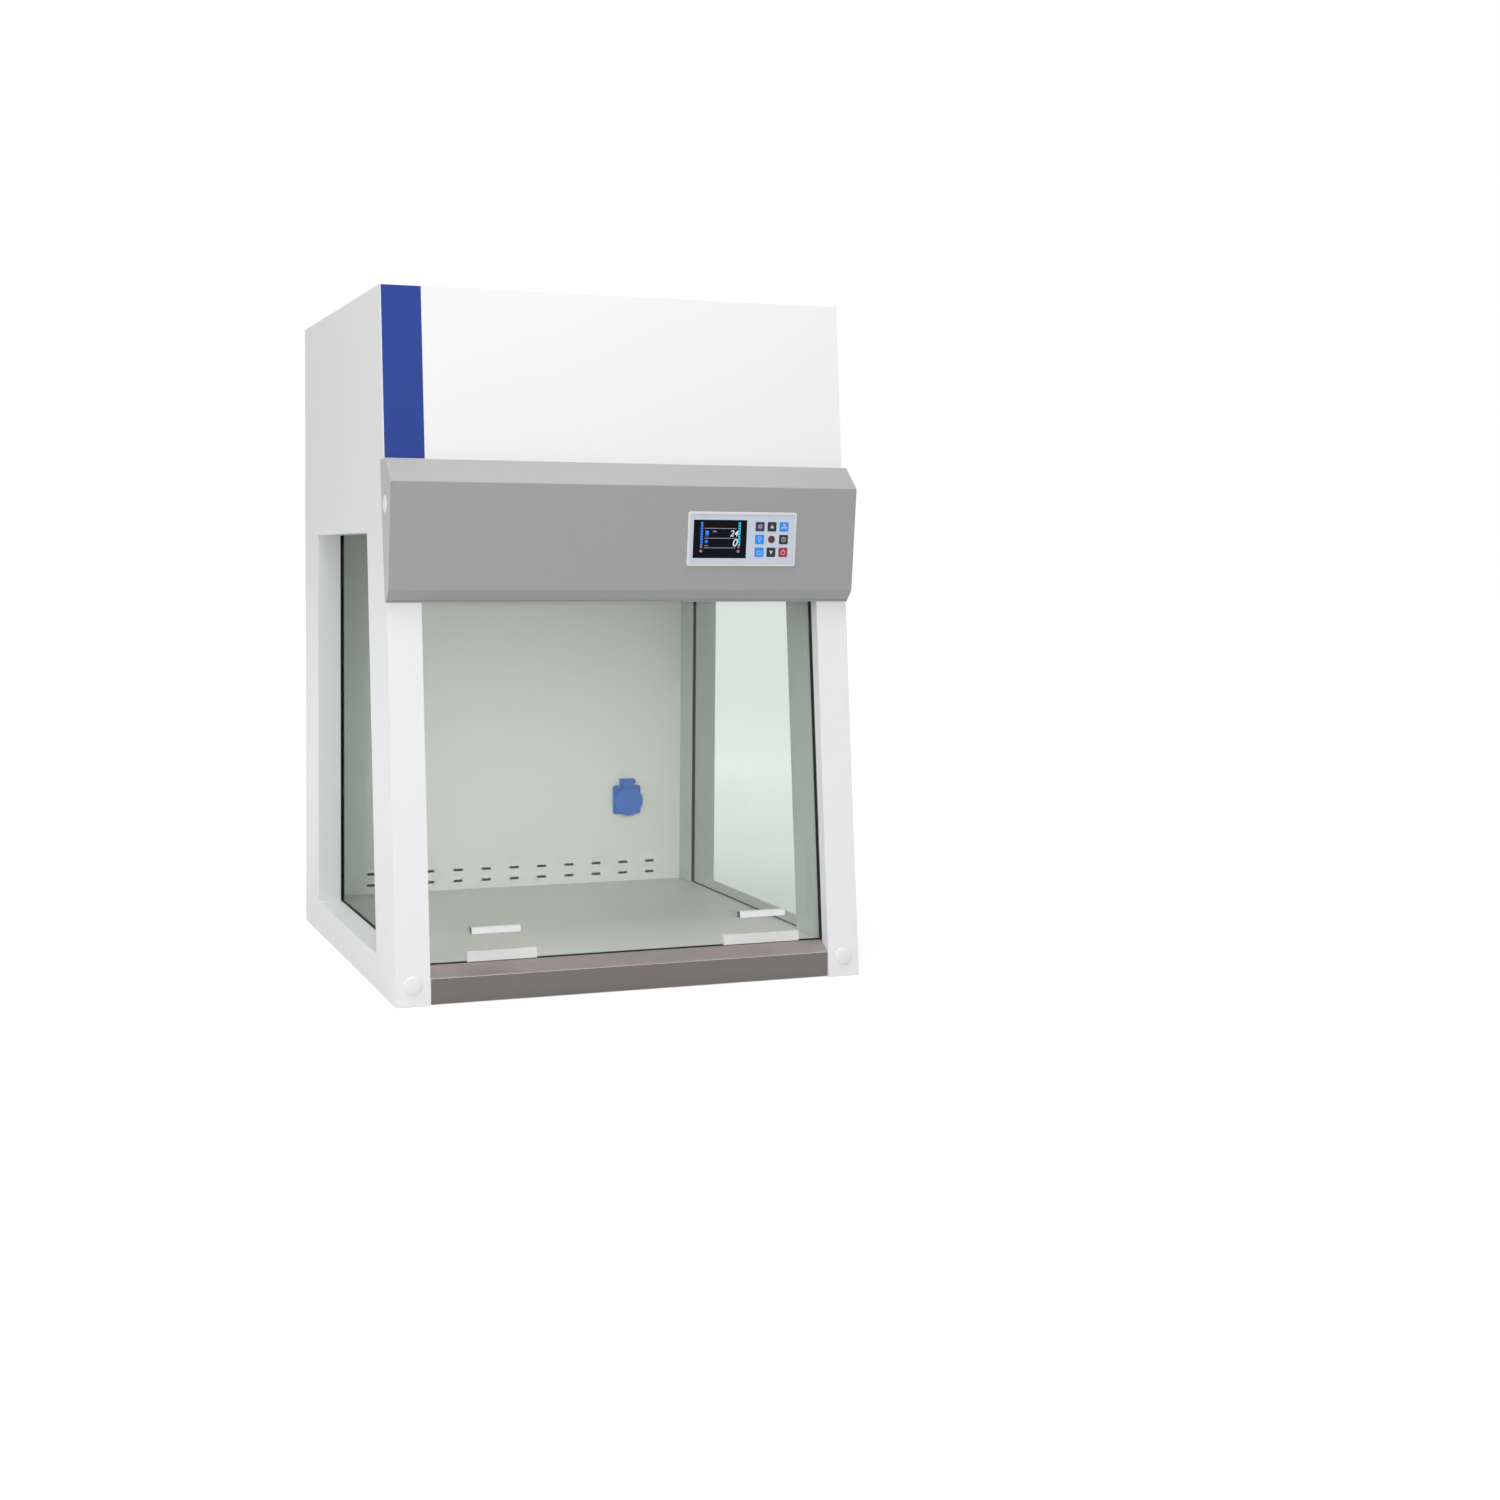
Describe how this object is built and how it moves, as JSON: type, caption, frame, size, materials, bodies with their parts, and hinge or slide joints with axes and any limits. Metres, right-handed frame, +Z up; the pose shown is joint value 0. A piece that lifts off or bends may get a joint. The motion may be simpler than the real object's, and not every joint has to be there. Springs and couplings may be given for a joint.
{
  "type": "vertical laminar flow cabinet",
  "caption": "White bench-top clean air cabinet with a leaning glass sash, glass side windows, grey control hood, stainless work surface and a filtered downflow head.",
  "frame": {"origin": "on the bench, under the middle of the overall box", "axes": "+X to the user's right, +Y from the front to the back, +Z up"},
  "size_m": [0.8062, 0.765, 1.135],
  "materials": {
    "white_paint": "satin powder coat",
    "liner_paint": "satin powder coat",
    "grey_paint": "satin powder coat",
    "clear_glass": "clear toughened",
    "black_rubber": "matte",
    "zinc_sheet": "galvanised",
    "stainless": "brushed",
    "blue_vinyl": "satin film",
    "filter_mat": "non-woven",
    "white_plastic": "gloss",
    "silver_plastic": "satin",
    "film_print": "printed film",
    "display_glass": "gloss",
    "dark_red": "gloss",
    "circuit_board": "solder mask",
    "raw_aluminium": "anodised",
    "filter_paper": "pleated",
    "lamp_glass": "clear",
    "motor_paint": "satin",
    "steel": "plain",
    "frosted_plastic": "frosted",
    "black_plastic": "matte",
    "blue_plastic": "gloss",
    "key_purple": "gloss",
    "key_black": "gloss",
    "key_blue": "gloss",
    "key_red": "gloss"
  },
  "bodies": {
    "cabinet": {"left_side_panel": "white_paint", "right_side_panel": "white_paint", "left_side_liner": "liner_paint", "right_side_liner": "liner_paint", "side_glasses": "clear_glass", "window_seals": "black_rubber", "base_pan": "zinc_sheet", "work_surface": "stainless", "front_sill": "stainless", "back_wall": "liner_paint", "rear_cover": "white_paint", "head_front_panel": "white_paint", "blue_strip": "blue_vinyl", "top_cover": "white_paint", "intake_grille": "white_paint", "prefilter": "filter_mat", "control_hood": "grey_paint", "screw_caps": "white_plastic", "panel_frame": "silver_plastic", "control_film": "film_print", "display": "display_glass", "receiver_window": "dark_red", "control_board": "circuit_board", "filter_ledge": "liner_paint", "filter_gasket": "black_rubber", "filter_frame": "raw_aluminium", "filter_pack": "filter_paper", "diffuser": "liner_paint", "light_batten": "raw_aluminium", "uv_tube": "lamp_glass", "uv_holders": "white_plastic", "head_partition": "liner_paint", "blower_deck": "zinc_sheet", "blower_housing": "zinc_sheet", "blower_motor": "motor_paint", "sash_guides": "black_plastic", "pulley_brackets": "steel", "lift_cables": "steel", "socket_body": "blue_plastic", "mains_inlet": "black_plastic", "rear_screws": "steel"},
    "sash": {"sash_glass": "clear_glass", "sash_handles": "raw_aluminium", "sash_edge_clips": "frosted_plastic", "sash_top_rail": "raw_aluminium"},
    "left_weight": {"left_counterweight": "steel"},
    "right_weight": {"right_counterweight": "steel"},
    "left_wheel": {"left_pulley": "black_plastic"},
    "right_wheel": {"right_pulley": "black_plastic"},
    "blower_rotor": {"impeller": "zinc_sheet", "motor_shaft": "steel"},
    "lid": {"socket_lid": "blue_plastic"},
    "uv_key_body": {"uv_key": "key_purple"},
    "up_key_body": {"up_key": "key_black"},
    "fan_key_body": {"fan_key": "key_blue"},
    "lamp_key_body": {"lamp_key": "key_blue"},
    "timer_key_body": {"timer_key": "key_black"},
    "socket_key_body": {"socket_key": "key_blue"},
    "down_key_body": {"down_key": "key_black"},
    "power_key_body": {"power_key": "key_red"}
  },
  "joints": [
    {"name": "sash_slide", "type": "slide", "parent": "cabinet", "child": "sash", "axis": [0, 0.0999, 0.995], "range_m": [0, 0.33], "deforming": ["lift_cables"]},
    {"name": "left_weight_slide", "type": "slide", "parent": "cabinet", "child": "left_weight", "axis": [0, 0.0999, 0.995], "range_m": [-0.33, 0]},
    {"name": "right_weight_slide", "type": "slide", "parent": "cabinet", "child": "right_weight", "axis": [0, 0.0999, 0.995], "range_m": [-0.33, 0]},
    {"name": "left_pulley_turn", "type": "hinge", "parent": "cabinet", "child": "left_wheel", "pos_m": [-0.354, -0.2449, 1.09476], "axis": [0, -0.995, 0.0999], "range_deg": [0, 901]},
    {"name": "right_pulley_turn", "type": "hinge", "parent": "cabinet", "child": "right_wheel", "pos_m": [0.354, -0.2449, 1.09476], "axis": [0, -0.995, 0.0999], "range_deg": [-901, 0]},
    {"name": "blower_spin", "type": "hinge", "parent": "cabinet", "child": "blower_rotor", "pos_m": [0, 0.0475, 1.01], "axis": [1, 0, 0], "continuous": true},
    {"name": "socket_lid_hinge", "type": "hinge", "parent": "cabinet", "child": "lid", "pos_m": [0.234, 0.3047, 0.256], "axis": [-1, 0, 0], "range_deg": [0, 100], "stiffness_Nm_per_rad": 0.02, "springref_deg": -34.38},
    {"name": "uv_key_press", "type": "slide", "parent": "cabinet", "child": "uv_key_body", "axis": [0, 0.9959, 0.0908], "range_m": [0, 0.0008], "stiffness_N_per_m": 600},
    {"name": "up_key_press", "type": "slide", "parent": "cabinet", "child": "up_key_body", "axis": [0, 0.9959, 0.0908], "range_m": [0, 0.0008], "stiffness_N_per_m": 600},
    {"name": "fan_key_press", "type": "slide", "parent": "cabinet", "child": "fan_key_body", "axis": [0, 0.9959, 0.0908], "range_m": [0, 0.0008], "stiffness_N_per_m": 600},
    {"name": "lamp_key_press", "type": "slide", "parent": "cabinet", "child": "lamp_key_body", "axis": [0, 0.9959, 0.0908], "range_m": [0, 0.0008], "stiffness_N_per_m": 600},
    {"name": "timer_key_press", "type": "slide", "parent": "cabinet", "child": "timer_key_body", "axis": [0, 0.9959, 0.0908], "range_m": [0, 0.0008], "stiffness_N_per_m": 600},
    {"name": "socket_key_press", "type": "slide", "parent": "cabinet", "child": "socket_key_body", "axis": [0, 0.9959, 0.0908], "range_m": [0, 0.0008], "stiffness_N_per_m": 600},
    {"name": "down_key_press", "type": "slide", "parent": "cabinet", "child": "down_key_body", "axis": [0, 0.9959, 0.0908], "range_m": [0, 0.0008], "stiffness_N_per_m": 600},
    {"name": "power_key_press", "type": "slide", "parent": "cabinet", "child": "power_key_body", "axis": [0, 0.9959, 0.0908], "range_m": [0, 0.0008], "stiffness_N_per_m": 600}
  ],
  "couplings": [
    {"joint": "left_weight_slide", "follows": "sash_slide", "ratio": -1},
    {"joint": "right_weight_slide", "follows": "sash_slide", "ratio": -1},
    {"joint": "left_pulley_turn", "follows": "sash_slide", "rad_per_m": 47.619},
    {"joint": "right_pulley_turn", "follows": "sash_slide", "rad_per_m": -47.619}
  ]
}
